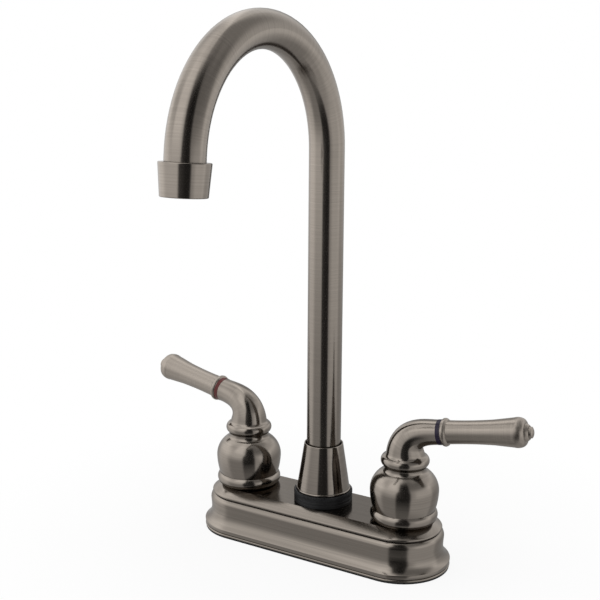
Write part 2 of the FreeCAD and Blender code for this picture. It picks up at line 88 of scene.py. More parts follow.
# %% [markdown]
# ## The camera
# The photograph looks down on the faucet a little, from the front and the right. A camera was fitted to the
# outline of the faucet, which gives where it stands, what it looks at and how far it is rolled. Its lens is
# written for Blender's 36 mm sensor. We build its axes by hand, because a Track To constraint can't roll.

# %% Place the camera
camera_azimuth = math.radians(32.21)
camera_elevation = math.radians(12.35)
camera_roll = math.radians(0.33)
camera_distance = 0.60277
looked_at = Vector((-0.00813, -0.01283, 0.14206))
lens_mm = 67.38


def seen_from(azimuth, elevation):
    """Unit vector from the faucet to where a camera stands; azimuth 0 is in front, 90 on the cold side."""
    return Vector((math.sin(azimuth) * math.cos(elevation),
                   -math.cos(azimuth) * math.cos(elevation), math.sin(elevation)))


towards_camera = seen_from(camera_azimuth, camera_elevation)
across = (-towards_camera).cross(Vector((0, 0, 1))).normalized()
upwards = across.cross(-towards_camera)
rolled_across = math.cos(camera_roll) * across + math.sin(camera_roll) * upwards
rolled_upwards = math.cos(camera_roll) * upwards - math.sin(camera_roll) * across

camera_data = bpy.data.cameras.new("camera")
camera_data.lens = lens_mm
camera = bpy.data.objects.new("camera", camera_data)
scene.collection.objects.link(camera)
turn = Matrix((rolled_across, rolled_upwards, towards_camera)).transposed().to_4x4()
camera.matrix_world = Matrix.Translation(looked_at + towards_camera * camera_distance) @ turn
scene.camera = camera
print("camera at", tuple(round(v, 4) for v in camera.matrix_world.translation))

# %% [markdown]
# ## Small helpers for materials
# A material in Blender is a graph of nodes. These few functions make a node, set its sockets and join it to
# others in one line each, so that every finish below can be read as a recipe.

# %% Node helpers


def new_material(name):
    """A fresh material with only its surface shader and output, and what is needed to add nodes to it."""
    material = bpy.data.materials.new(name)
    material.use_nodes = True
    shader = material.node_tree.nodes["Principled BSDF"]
    return material, material.node_tree, shader


def node(tree, kind, **settings):
    """Add a node and set its properties."""
    made = tree.nodes.new(kind)
    for key, value in settings.items():
        setattr(made, key, value)
    return made


def feed(tree, target, value):
    """Put a number, a colour or another node's output into a socket."""
    if isinstance(value, bpy.types.NodeSocket):
        tree.links.new(value, target)
    else:
        target.default_value = value


def math_node(tree, operation, *values):
    made = node(tree, "ShaderNodeMath", operation=operation)
    for socket, value in zip(made.inputs, values):
        feed(tree, socket, value)
    return made.outputs[0]


def vector_node(tree, operation, *values):
    made = node(tree, "ShaderNodeVectorMath", operation=operation)
    for socket, value in zip(made.inputs, values):
        feed(tree, socket, value)
    return made.outputs["Vector"]


def xyz(tree, x, y, z):
    made = node(tree, "ShaderNodeCombineXYZ")
    for socket, value in zip(made.inputs, (x, y, z)):
        feed(tree, socket, value)
    return made.outputs[0]


def noise(tree, position, scale, detail=2.0, roughness=0.5):
    made = node(tree, "ShaderNodeTexNoise")
    feed(tree, made.inputs["Vector"], position)
    made.inputs["Scale"].default_value = scale
    made.inputs["Detail"].default_value = detail
    made.inputs["Roughness"].default_value = roughness
    return made.outputs[0]


def spread(tree, value, from_low, from_high, to_low, to_high):
    """Map Range: stretch a number from one range onto another, and stop at its ends."""
    made = node(tree, "ShaderNodeMapRange")
    for socket, number in zip(made.inputs, (value, from_low, from_high, to_low, to_high)):
        feed(tree, socket, number)
    return made.outputs[0]


def stretch_noise(tree, value, to_low, to_high):
    """Put a noise, which lies nearly all between 0.3 and 0.7, onto another range."""
    return spread(tree, value, 0.3, 0.7, to_low, to_high)


def mix_colour(tree, share, first, second):
    made = node(tree, "ShaderNodeMix", data_type="RGBA")
    feed(tree, made.inputs[0], share)
    feed(tree, made.inputs[6], first)
    feed(tree, made.inputs[7], second)
    return made.outputs[2]


def bump(tree, height, distance, strength=1.0):
    made = node(tree, "ShaderNodeBump")
    feed(tree, made.inputs["Height"], height)
    made.inputs["Distance"].default_value = distance
    made.inputs["Strength"].default_value = strength
    return made.outputs[0]


print("helpers ready")

# %% [markdown]
# ## Satin nickel
# The plate, the hubs, the levers, the cone nut, the tube and the aerator all have the same finish: nickel,
# darkened to a warm pewter grey and brushed with a fine belt. Brushing leaves thousands of tiny grooves, and
# a groove blurs a reflection across itself but not along itself, which Cycles calls anisotropy. The shader
# stretches its highlights along the vector in its Tangent socket, so that vector runs at right angles to the
# grooves. On a turned piece the grooves go round it, and the vector is the direction of the piece's axis.

# %% Make the recipe for satin nickel
nickel_colour = (0.42, 0.372, 0.325)
groove_depth = 0.0000025
groove_pitch = 0.0007
groove_wander = 12.0  # how fast the pattern of grooves changes along them, per metre
groove_contrast = 0.1
cloud_scale = 70.0
least_cloud, most_cloud = -0.02, 0.03  # what the clouds add to the roughness


def shade_of(colour, share):
    return [share * channel for channel in colour] + [1.0]


def satin_nickel(name, brushing, roughness=0.16, anisotropy=0.5, tone=1.0):
    """Brushed nickel. brushing(tree, place) gives the axis of the grooves and the distance along it."""
    material, tree, shader = new_material(name)
    place = node(tree, "ShaderNodeTexCoord").outputs["Object"]
    axis, distance = brushing(tree, place)
    tangent = node(tree, "ShaderNodeVectorTransform", vector_type="VECTOR",
                   convert_from="OBJECT", convert_to="WORLD")
    feed(tree, tangent.inputs[0], axis)
    slow_place = vector_node(tree, "MULTIPLY", place, [groove_wander] * 3)
    fast = math_node(tree, "DIVIDE", distance, groove_pitch)
    groove_place = vector_node(tree, "ADD", slow_place, xyz(tree, 0.0, 0.0, fast))
    grooves = noise(tree, groove_place, scale=1.0, detail=5.0, roughness=0.65)
    clouds = noise(tree, place, cloud_scale, detail=3.0)
    feed(tree, shader.inputs["Base Color"],
         mix_colour(tree, stretch_noise(tree, grooves, 0.0, 1.0),
                    shade_of(nickel_colour, (1 - groove_contrast) * tone),
                    shade_of(nickel_colour, (1 + groove_contrast) * tone)))
    feed(tree, shader.inputs["Roughness"],
         stretch_noise(tree, clouds, roughness + least_cloud, roughness + most_cloud))
    shader.inputs["Metallic"].default_value = 1.0
    shader.inputs["Anisotropic"].default_value = anisotropy
    feed(tree, shader.inputs["Tangent"], tangent.outputs[0])
    feed(tree, shader.inputs["Normal"], bump(tree, grooves, groove_depth))
    return material


def straight(axis):
    """Grooves round one straight axis."""
    axis = Vector(axis).normalized()

    def brushing(tree, place):
        along = node(tree, "ShaderNodeVectorMath", operation="DOT_PRODUCT")
        feed(tree, along.inputs[0], place)
        along.inputs[1].default_value = axis
        return xyz(tree, *axis), along.outputs["Value"]
    return brushing


print("recipe ready, nickel colour", nickel_colour)

# %% [markdown]
# The tube and the hubs' elbows are bent, and their grooves go round them all the way. So their axis turns
# with the bend. We measure how far a point has gone round the bend's centre with an arctangent, stop that
# angle at both ends of the bend, and turn the axis by it.

# %% Grooves that follow a bend


def bent(centre, outward, radius, last_turn):
    """Grooves round a path that goes straight up, then bends towards outward round the given centre."""
    outward = Vector(outward).normalized()

    def brushing(tree, place):
        away = vector_node(tree, "SUBTRACT", place, centre)
        level = node(tree, "ShaderNodeVectorMath", operation="DOT_PRODUCT")
        feed(tree, level.inputs[0], away)
        level.inputs[1].default_value = -outward
        height = node(tree, "ShaderNodeSeparateXYZ")
        feed(tree, height.inputs[0], away)
        angle = math_node(tree, "ARCTAN2", height.outputs["Z"], level.outputs["Value"])
        turned_by = math_node(tree, "MAXIMUM", math_node(tree, "MINIMUM", angle, last_turn), 0.0)
        sine = math_node(tree, "SINE", turned_by)
        axis = xyz(tree, math_node(tree, "MULTIPLY", sine, outward.x),
                   math_node(tree, "MULTIPLY", sine, outward.y), math_node(tree, "COSINE", turned_by))
        below = math_node(tree, "MINIMUM", height.outputs["Z"], 0.0)
        return axis, math_node(tree, "ADD", below, math_node(tree, "MULTIPLY", turned_by, radius))
    return brushing


def lever_heading(sign):
    """Level direction in which the lever of the hot (-1) or cold (+1) side points."""
    return Vector((sign * math.cos(lever_sweep), math.sin(lever_sweep), 0.0))


def lever_axis(sign):
    return lever_heading(sign) * math.sin(elbow_turn) + Vector((0, 0, math.cos(elbow_turn)))


def hub_brushing(sign):
    heading = lever_heading(sign)
    root = Vector((sign * valve_x, 0.0, plate_top + elbow_root_height))
    return bent((root + heading * elbow_radius) * MM, heading, elbow_radius * MM, elbow_turn)


tube_bend = bent(Vector((0, -arch_radius, arch_foot)) * MM, (0, -1, 0), arch_radius * MM, arch_turn)
tube_nickel = satin_nickel("satin_nickel_tube", tube_bend, roughness=0.19, anisotropy=0.6)
hub_nickel, lever_nickel = {}, {}
for side, sign in sides.items():
    hub_nickel[side] = satin_nickel("satin_nickel_hub_" + side, hub_brushing(sign))
    lever_nickel[side] = satin_nickel("satin_nickel_lever_" + side, straight(lever_axis(sign)),
                                      roughness=0.30, anisotropy=0.6, tone=1.2)
cone_nickel = satin_nickel("satin_nickel_cone", straight((0, 0, 1)), roughness=0.13, anisotropy=0.6)
outlet_axis = (0.0, -math.sin(arch_turn), math.cos(arch_turn))
outlet_nickel = satin_nickel("satin_nickel_outlet", straight(outlet_axis), roughness=0.14, anisotropy=0.6)
print("nickel for tube, hubs, levers, cone nut and outlet")

# %% [markdown]
# The deck plate is brushed along its length: the grooves run level round its walls and from side to side on
# its flat top. So the blur runs upright on the walls and from front to back on the top. Which of the two a
# point belongs to is told by its normal.

# %% Nickel of the deck plate
wall_below, top_above = 0.75, 0.95  # upward part of the normal that still counts as a wall, or as the top


def plate_brushing(tree, place):
    normal = node(tree, "ShaderNodeSeparateXYZ")
    feed(tree, normal.inputs[0], node(tree, "ShaderNodeNewGeometry").outputs["Normal"])
    on_top = spread(tree, normal.outputs["Z"], wall_below, top_above, 0.0, 1.0)
    upright = math_node(tree, "SUBTRACT", 1.0, on_top)
    spot = node(tree, "ShaderNodeSeparateXYZ")
    feed(tree, spot.inputs[0], place)
    distance = math_node(tree, "ADD", math_node(tree, "MULTIPLY", spot.outputs["Z"], upright),
                         math_node(tree, "MULTIPLY", spot.outputs["Y"], on_top))
    return xyz(tree, 0.0, on_top, upright), distance


plate_nickel = satin_nickel("satin_nickel_plate", plate_brushing, anisotropy=0.4)
print("nickel for the plate")

# %% [markdown]
# The crease under the moulding is given painted shade: a band of height, soft at both ends, darkens the nickel's
# colour where the narrow groove lies in shade, and roughens it there, so that it is dull.

# %% Paint shade into the crease
band_start, band_end = (20.6, 21.1), (21.6, 22.0)  # heights between which the band fades in and out
# painted shade: how light the nickel stays in the crease, as a share of its colour
painted_crease_shade, crease_roughness = 0.4, 0.5
tree = plate_nickel.node_tree
shader = tree.nodes["Principled BSDF"]
spot = node(tree, "ShaderNodeSeparateXYZ")
feed(tree, spot.inputs[0], node(tree, "ShaderNodeTexCoord").outputs["Object"])
height_mm = math_node(tree, "DIVIDE", spot.outputs["Z"], MM)
# painted shade: where this band is 1, the nickel is darkened to stand for the shade that falls in the narrow
# crease
painted_shade_in_crease = math_node(tree, "MULTIPLY", spread(tree, height_mm, *band_start, 0.0, 1.0),
                      spread(tree, height_mm, *band_end, 1.0, 0.0))
bright = shader.inputs["Base Color"].links[0].from_socket
smooth = shader.inputs["Roughness"].links[0].from_socket
# the base colour is mixed towards darker nickel in the band: painted shade, not a colour the metal has
feed(tree, shader.inputs["Base Color"],
     mix_colour(tree, painted_shade_in_crease, bright, shade_of(nickel_colour, painted_crease_shade)))
feed(tree, shader.inputs["Roughness"], spread(tree, painted_shade_in_crease, 0.0, 1.0, smooth, crease_roughness))
print("crease darkened between", band_start[0], "and", band_end[1], "mm")

# %% [markdown]
# ## Plastics, rubber and ceramic
# The collar ring under the cone nut is black moulded plastic, a little worn and dusty; the gasket is rubber.
# The index rings are small glossy mouldings, red for hot and blue for cold. A plastic differs from a metal in
# that its colour comes from inside it, so its Metallic is 0, and fine noise in roughness and bump tells the
# moulding's skin. The lapped discs inside the valves are ceramic: the same recipe, with hardly any grain.

# %% Make plastics, rubber and ceramic


def moulded(name, colour, roughness, grain=1800.0, grain_depth=0.000008, tint=0.12):
    """A plastic, rubber or ceramic: one colour, slightly cloudy, with a fine moulded grain."""
    material, tree, shader = new_material(name)
    place = node(tree, "ShaderNodeTexCoord").outputs["Object"]
    clouds = noise(tree, place, scale=160.0, detail=3.0)
    pebbles = noise(tree, place, grain)
    feed(tree, shader.inputs["Base Color"],
         mix_colour(tree, clouds, shade_of(colour, 1.0 - tint), shade_of(colour, 1.0 + tint)))
    feed(tree, shader.inputs["Roughness"], stretch_noise(tree, pebbles, roughness - 0.05, roughness + 0.05))
    feed(tree, shader.inputs["Normal"], bump(tree, pebbles, grain_depth))
    return material


black_plastic = moulded("black_plastic", (0.012, 0.012, 0.013), 0.42)
black_rubber = moulded("black_rubber", (0.010, 0.010, 0.010), 0.65, grain=900.0)
white_plastic = moulded("white_plastic", (0.78, 0.78, 0.75), 0.35)
index_red = moulded("index_red", (0.10, 0.010, 0.008), 0.33)
index_blue = moulded("index_blue", (0.012, 0.006, 0.024), 0.3)
ceramic = moulded("lapped_ceramic", (0.86, 0.84, 0.79), 0.22, grain=400.0, grain_depth=0.000002, tint=0.03)
print("plastics, rubber and ceramic ready")

# %% [markdown]
# ## Brass and zinc plate inside
# The waterway is a sand casting in brass with machined ends, and the stems and bushes are turned brass bar.
# Cast skin is rougher and darker in its hollows than cut metal, so one noise drives colour, roughness and
# bump together.

# %% Make brass and zinc plate


def cast_metal(name, colour, roughness, lump=260.0, lump_depth=0.00006):
    material, tree, shader = new_material(name)
    place = node(tree, "ShaderNodeTexCoord").outputs["Object"]
    lumps = noise(tree, place, lump, detail=5.0, roughness=0.6)
    feed(tree, shader.inputs["Base Color"], mix_colour(tree, stretch_noise(tree, lumps, 0.0, 1.0),
                                                       shade_of(colour, 0.7), shade_of(colour, 1.1)))
    feed(tree, shader.inputs["Roughness"], stretch_noise(tree, lumps, roughness + 0.1, roughness - 0.05))
    shader.inputs["Metallic"].default_value = 1.0
    feed(tree, shader.inputs["Normal"], bump(tree, lumps, lump_depth))
    return material


cast_brass = cast_metal("cast_brass", (0.62, 0.44, 0.19), 0.42)
turned_brass = cast_metal("turned_brass", (0.74, 0.55, 0.26), 0.24, lump=1500.0, lump_depth=0.000004)
zinc_plate = cast_metal("zinc_plate", (0.55, 0.56, 0.58), 0.34, lump=900.0, lump_depth=0.000006)
print("brass and zinc plate ready")

# %% [markdown]
# ## Give each piece its finish
# Every piece of the frame takes one of these materials. The names on the left are the nodes of the model.

# %% Assign the finishes
finishes = {
    "deck_gasket": black_rubber, "base_cover": plate_nickel, "waterway_body": cast_brass,
    "mounting_nuts": black_plastic, "mounting_washers": zinc_plate, "cover_lock_nuts": turned_brass,
    "seat_seals": black_rubber, "fixed_discs": ceramic, "spout_collar_ring": black_plastic,
    "spout_cone_nut": cone_nickel, "spout_glide_ring": white_plastic, "gooseneck_tube": tube_nickel,
    "spout_ferrule": turned_brass, "spout_o_ring": black_rubber, "aerator_shell": outlet_nickel,
    "aerator_washer": black_rubber, "aerator_insert": white_plastic,
}
for side, ring_plastic in (("hot", index_red), ("cold", index_blue)):
    finishes.update({side + "_cartridge_body": turned_brass, side + "_moving_disc": ceramic,
                     side + "_stem": turned_brass, side + "_stem_o_ring": black_rubber,
                     side + "_handle_hub": hub_nickel[side], side + "_index_ring": ring_plastic,
                     side + "_lever": lever_nickel[side], side + "_lever_stud": zinc_plate,
                     side + "_set_screw": zinc_plate})
for name, finish in finishes.items():
    mesh = parts[name].data
    mesh.materials.clear()
    mesh.materials.append(finish)
print("finished", len(finishes), "of", len(parts), "pieces")

# %% [markdown]
# ## Outlines
# Three forms carry most of what the eye sees: the plate and the two hubs. The model's solids have the right
# size, and here we draw them once more with finer edges and a smoother elbow. Each starts from an outline,
# which is half of its cross-section. A point of an outline is written as a complex number in millimetres: its
# distance from the axis plus its height times j. To turn a step of the outline is then to multiply it.

# %% Draw arcs


def arc(start, end, turned, count=10):
    """Points after start on the arc to end that turns left by an angle in degrees."""
    angle = math.radians(turned)
    points = []
    for step in range(1, count + 1):
        part = angle * step / count
        reach = math.sin(part / 2) / math.sin(angle / 2)
        points.append(start + (end - start) * cmath.exp(1j * (part - angle) / 2) * reach)
    return points


def arc_through(start, middle, end, count=10):
    """Points after start on the arc that goes through a middle point to end."""
    return arc(start, end, 2 * math.degrees(cmath.phase((end - middle) / (middle - start))), count)


print("half a circle has its middle at", arc(0, 2, 180, 2)[0])

# %% [markdown]
# ## From rows of points to a piece
# A skin through rows of points is the plainest way to make a closed mesh: each row is joined to the next by
# four-sided faces, and the first and last rows are filled. It is shaded smooth, with a sharp edge wherever
# two faces meet at more than some angle. The Boolean modifier then cuts the holes.

# %% Skin, cut and show


def skin(name, rows):
    """Closed mesh through rows of points, which are given in millimetres."""
    shell = bmesh.new()
    loops = [[shell.verts.new(Vector(point) * MM) for point in row] for row in rows]
    for before, after in zip(loops, loops[1:]):
        for i in range(len(before)):
            shell.faces.new((before[i - 1], before[i], after[i], after[i - 1]))
    shell.faces.new(loops[0])
    shell.faces.new(loops[-1])
    bmesh.ops.recalc_face_normals(shell, faces=shell.faces)
    mesh = bpy.data.meshes.new(name)
    shell.to_mesh(mesh)
    shell.free()
    return mesh


def circle(centre, across, over, radius, corners=96):
    """Points round a centre, in the plane of two unit vectors."""
    centre, across, over = Vector(centre), Vector(across), Vector(over)
    turns = [2 * math.pi * i / corners for i in range(corners)]
    return [centre + radius * (math.cos(t) * across + math.sin(t) * over) for t in turns]


def cut(mesh, cutters):
    """What is left of a closed mesh when others are taken away from it."""
    blank = bpy.data.objects.new("blank", mesh)
    tools = [bpy.data.objects.new("cutter", cutter) for cutter in cutters]
    for made in [blank] + tools:
        scene.collection.objects.link(made)
    for tool in tools:
        modifier = blank.modifiers.new("cut", "BOOLEAN")
        modifier.object = tool
    left = bpy.data.meshes.new_from_object(blank.evaluated_get(bpy.context.evaluated_depsgraph_get()))
    for made in [blank] + tools:
        bpy.data.objects.remove(made)
    return left


def show(name, mesh, finish, body, sharp_from=35):
    """Put a mesh into the scene as a piece that moves with a body; sharp_from is the least sharp angle."""
    mesh.materials.clear()
    mesh.materials.append(finish)
    mesh.shade_smooth()
    mesh.set_sharp_from_angle(angle=math.radians(sharp_from))
    piece = bpy.data.objects.new(name, mesh)
    scene.collection.objects.link(piece)
    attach(piece, body)
    print(name, len(mesh.polygons), "faces")
    return piece


print("mesh helpers ready")

# %% [markdown]
# ## The deck plate
# The real plate is a die casting. From the foot up its outline is a thin bead, a lip that is drawn in, a
# hollow flare, the wall, a rounded edge, a narrow crease and a moulding whose crown runs into the flat top.
# Inside, the outline starts under the roof and comes down the hollow. It goes round a racetrack: two half
# circles joined by straight sides. The holes for the two valve towers and for the spout's socket are cut
# afterwards.

# %% Draw the plate
plate_end_x = plate_reach - plate_half
side_steps, end_steps = 32, 48
lip_foot, lip_waist, lip_top = 27.2 + 1.6j, 26.7 + 2.2j, 27.3 + 4.6j
flare_foot, flare_top = 27.1 + 4.9j, 23.42 + 11.5j
wall_middle, wall_top, edge_end = 23.5 + 14.0j, 23.8 + 17.5j, 21.9 + 20.9j
crease_foot, crease_top = 21.6 + 21.0j, 21.6 + 21.45j
nose_foot, nose_end, crown_end = 21.95 + 21.5j, 22.314 + 22.906j, 16.3 + plate_top * 1j
plate_outline = [15.4 + 24.3j, 20.0 + 20.4j, 20.0 + 13.2j, 25.7 + 4.8j, 25.7 + 1.3j, 27.15 + 1.3j, lip_foot]
plate_outline += arc(lip_foot, lip_waist, 70, 4) + arc(lip_waist, lip_top, 28, 6)
plate_outline += arc(lip_top, flare_foot, 55, 4) + arc(flare_foot, flare_top, -48, 14)
plate_outline += [wall_middle, wall_top] + arc(wall_top, edge_end, 58, 12)
plate_outline += [crease_foot, crease_top, nose_foot]
plate_outline += arc(nose_foot, nose_end, 151, 14) + arc(nose_end, crown_end, 7, 12)


def racetrack(half, height):
    """Points round the plate at some distance from the line through the valves."""
    points = []
    for sign in (1, -1):
        for i in range(end_steps + 1):
            t = math.radians(180 * i / end_steps - 90)
            points.append((sign * (plate_end_x + half * math.cos(t)), sign * half * math.sin(t), height))
        points += [(sign * plate_end_x * (1 - 2 * i / side_steps), sign * half, height)
                   for i in range(1, side_steps)]
    return points


print("plate outline of", len(plate_outline), "points")

# %% Cut its holes
tower_hole, socket_hole = 12.3, 11.9
below_roof, above_top = 22.0, 28.0


def upright_rod(x, radius):
    return skin("rod", [circle((x, 0, z), (1, 0, 0), (0, 1, 0), radius) for z in (below_roof, above_top)])


plate_mesh = skin("deck_plate", [racetrack(point.real, point.imag) for point in plate_outline])
rods = [upright_rod(-valve_x, tower_hole), upright_rod(valve_x, tower_hole), upright_rod(0.0, socket_hole)]
plate = show("deck_plate", cut(plate_mesh, rods), plate_nickel, "base", sharp_from=11)
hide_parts("base_cover")

# %% [markdown]
# ## The hubs
# Bell and elbow are one casting. The bell is turned, and the elbow bends away from it and gets thinner, so
# the hub is one skin of circles: they climb straight up through the bell, and then follow a Bezier curve that
# leaves along the bell's axis and arrives along the lever's. A Bezier curve eases into its bend, and the
# reflections flow through the elbow without a break. Heights are above the plate. The outline starts in the
# bore for the valve's stem and comes down the bell's hollow; the skin ends in the bore for the lever's stud.

# %% Draw the bell
root_radius = 10.3
bell_foot, bell_bead, bell_waist = 16.3 + 0.3j, 18.25 + 4.2j, 16.95 + 6.7j
bell_belly, bell_shoulder, bell_neck = 18.6 + 17.0j, 12.2 + 27.97j, 11.5 + 29.3j
collar_foot, collar_edge, collar_head = 12.5 + 31.8j, 13.1 + 33.9j, 12.1 + 36.0j
elbow_root = elbow_root_height * 1j
bell_outline = [4.0 + 28.3j, 4.0 + 14.4j, 14.8 + 14.4j, 14.8 + 0.3j, bell_foot]
bell_outline += arc_through(bell_foot, bell_bead, bell_waist, 14)
bell_outline += arc(bell_waist, bell_belly, 15.4, 14) + arc(bell_belly, bell_shoulder, 60.5, 24)
bell_outline += arc_through(bell_shoulder, bell_neck, collar_foot, 10)
bell_outline += arc_through(collar_foot, collar_edge, collar_head, 14)
bell_outline += arc(collar_head, root_radius + elbow_root, -58.3, 8)
print("bell outline of", len(bell_outline), "points")

# %% Draw the elbow
elbow_steps = 40
face_radius, stud_radius, stud_depth = 6.65, 3.0, 8.0
thinning = 1.9  # above 1, the elbow gets thinner sooner near its root
lever_way = cmath.rect(1.0, lever_rise)
elbow_face = 18.67 + 52.06j
root_pull, face_pull = 12.5, 6.5  # how far each end of the curve is pulled along its axis
handles = (elbow_root, elbow_root + root_pull * 1j, elbow_face - face_pull * lever_way, elbow_face)


def elbow_circle(middle, way, radius):
    """Circle round a point of the elbow's path; the path lies in the X-Z plane, as complex numbers."""
    return circle((middle.real, 0, middle.imag), (0, 1, 0), (way.imag, 0, -way.real), radius)


def bezier(handles, share):
    """Point and direction at a share of the way along a Bezier curve."""
    a, b, c, d = handles
    rest = 1 - share
    point = rest ** 3 * a + 3 * rest ** 2 * share * b + 3 * rest * share ** 2 * c + share ** 3 * d
    way = rest ** 2 * (b - a) + 2 * rest * share * (c - b) + share ** 2 * (d - c)
    return point, way / abs(way)


hub_rows = [elbow_circle(point.imag * 1j, 1j, point.real) for point in bell_outline]
for step in range(1, elbow_steps + 1):
    share = step / elbow_steps
    radius = face_radius + (root_radius - face_radius) * (1 - share) ** thinning
    hub_rows.append(elbow_circle(*bezier(handles, share), radius))
hub_rows.append(elbow_circle(elbow_face, lever_way, stud_radius))
hub_rows.append(elbow_circle(elbow_face - stud_depth * lever_way, lever_way, stud_radius))
print("hub of", len(hub_rows), "circles")

# %% [markdown]
# The cold hub is turned a little towards the back, and the hot one is its mirror image. A set screw clamps
# each hub to its stem, from the back, where the eye doesn't meet its hole.

# %% Put both hubs in place
screw_radius, screw_height, past_the_bell = 2.0, 22.8, 20.0
screw_rows = [circle((0, y, screw_height), (1, 0, 0), (0, 0, 1), screw_radius, 32)
              for y in (0.0, past_the_bell)]


def hub_place(rows, sign):
    """Rows of a hub drawn on the origin, turned and moved to the hot (-1) or cold (+1) valve."""
    sine, cosine = math.sin(lever_sweep), math.cos(lever_sweep)
    return [[(sign * (valve_x + p[0] * cosine - p[1] * sine), p[0] * sine + p[1] * cosine, p[2] + plate_top)
             for p in row] for row in rows]


for side, sign in sides.items():
    screw_hole = skin("screw_hole", hub_place(screw_rows, sign))
    hub_mesh = cut(skin(side + "_hub", hub_place(hub_rows, sign)), [screw_hole])
    hub = show(side + "_hub", hub_mesh, hub_nickel[side], side + "_handle")
    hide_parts(side + "_handle_hub")

# %% [markdown]
# ## The collar ring
# The black ring that the cone nut stands on is a moulding with fine upright ribs round its upper edge, for
# the fingers, and two shallow grooves below them. There are four points to a rib: three on its flat back and
# one at the foot of the nick beside it. Heights are above the plate. The rows close on themselves round the
# bore, so the first one is also the last.

# %% Mould the collar ring
ribs, points_per_rib, rib_depth = 110, 4, 0.22
collar_radius, _, collar_top = corners_mm("spout_collar_ring")[1]
collar_bore, groove_radius, rib_radius = socket_hole, collar_radius - 0.15, collar_radius + 0.05
collar_height = collar_top - plate_top
plain, ribbed = 0.0, rib_depth
collar_outline = [(collar_bore, 0.05, plain), (groove_radius, 0.05, plain), (collar_radius, 0.2, plain)]
for groove_foot in (1.7, 3.4):
    collar_outline += [(collar_radius, groove_foot, plain), (groove_radius, groove_foot + 0.15, plain),
                       (groove_radius, groove_foot + 0.45, plain), (collar_radius, groove_foot + 0.6, plain)]
collar_outline += [(collar_radius, 4.5, plain), (rib_radius, 4.7, ribbed), (rib_radius, 6.2, ribbed),
                   (collar_radius - 0.3, collar_height - 0.05, ribbed),
                   (collar_radius - 0.65, collar_height, plain), (collar_bore, collar_height, plain)]
collar_rows = []
for radius, height, nick in collar_outline:
    row = []
    for i in range(ribs * points_per_rib):
        t = 2 * math.pi * i / (ribs * points_per_rib)
        r = radius - nick * (i % points_per_rib == 0)
        row.append((r * math.cos(t), r * math.sin(t), plate_top + height))
    collar_rows.append(row)
collar_mesh = skin("ribbed_collar", collar_rows + collar_rows[:1])
collar = show("ribbed_collar", collar_mesh, black_plastic, "base")
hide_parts("spout_collar_ring")

# %% [markdown]
# ## Pipe threads on the tails
# The tails under the deck carry a half-inch pipe thread, 14 turns to the inch. In the model they are plain
# cylinders at the thread's outer size. Here a low ridge winds round each of them, above the washer, below the
# nut and on the supply end: a small ridge with sloping flanks and a narrow crest, swept along a helix. It
# fades in and out over its first and last quarter turn, and its root lies a little inside the tail.

# %% Wind the threads
thread_pitch, steps_per_turn = 1.814, 48
supply_end = mounts["hot_shank"]
tail_radius, supply_length = supply_end["dims"]["r_mm"], supply_end["dims"]["length_mm"]
supply_middle = supply_end["pos_m"][2] / MM
ridge_height, root_half, crest_half, root_depth = 0.28, 0.62, 0.08, 0.15
fade_steps, faded = 12, 0.03
run_out_width = 2.0  # of the plain groove between the nut's thread and the supply end's
supply_foot, supply_top = supply_middle - supply_length / 2, supply_middle + supply_length / 2
washer_top, nut_foot = corners_mm("mounting_washers")[1][2], corners_mm("mounting_nuts")[0][2]
foot_gap, head_gap, nut_gap = 0.8, 0.9, 1.0
threaded = {"under_deck": (washer_top + foot_gap, -head_gap),
            "under_nut": (supply_top + run_out_width + foot_gap, nut_foot - nut_gap),
            "supply_end": (supply_foot + foot_gap, supply_top - head_gap)}


def thread_rows(x, foot, head):
    """Rows of a ridge that climbs from foot to head."""
    steps = int((head - foot) / thread_pitch * steps_per_turn)
    root = tail_radius - root_depth
    rows = []
    for i in range(steps + 1):
        t = 2 * math.pi * i / steps_per_turn
        z = foot + thread_pitch * i / steps_per_turn
        fade = min(1.0, i / fade_steps, (steps - i) / fade_steps)
        crest = tail_radius + ridge_height * (faded + (1 - faded) * fade)
        section = ((root, -root_half), (crest, -crest_half), (crest, crest_half), (root, root_half))
        rows.append([(x + r * math.cos(t), r * math.sin(t), z + dz) for r, dz in section])
    return rows


for side, sign in sides.items():
    for place, (foot, head) in threaded.items():
        name = side + "_thread_" + place
        show(name, skin(name, thread_rows(sign * valve_x, foot, head)), turned_brass, "base")

# %% [markdown]
# ## The studio
# Metal has hardly any colour of its own: we see the room in it. The photograph was taken in a small tent of
# soft light with a dark gap where the camera looks in, and that gap is the black stripe down every upright
# piece. We hang the tent as a dome half a metre round the faucet and paint its light in the dome's material.
# A painted sky would be endlessly far away and look the same from the plate and from the spout; the dome is
# near, so the spout sees more of the bright side wall than the plate does, as in the photograph. Only
# mirror-like rays see the dome. The camera sees plain white, and everything that isn't metal is lit by an
# even pale sky.

# %% Paint the sky outside the dome
sky_on_the_faucet, sky_in_the_picture = 0.75, 1.0
world = bpy.data.worlds.new("sky")
scene.world = world
world.use_nodes = True
tree = world.node_tree
tree.nodes.clear()


def plain_light(strength):
    background = node(tree, "ShaderNodeBackground")
    background.inputs["Color"].default_value = (1.0, 1.0, 1.0, 1.0)
    background.inputs["Strength"].default_value = strength
    return background.outputs[0]


unless_camera = node(tree, "ShaderNodeMixShader")
feed(tree, unless_camera.inputs[0], node(tree, "ShaderNodeLightPath").outputs["Is Camera Ray"])
feed(tree, unless_camera.inputs[1], plain_light(sky_on_the_faucet))
feed(tree, unless_camera.inputs[2], plain_light(sky_in_the_picture))
feed(tree, node(tree, "ShaderNodeOutputWorld").inputs["Surface"], unless_camera.outputs[0])
print("white sky for the camera, pale sky for the rest")

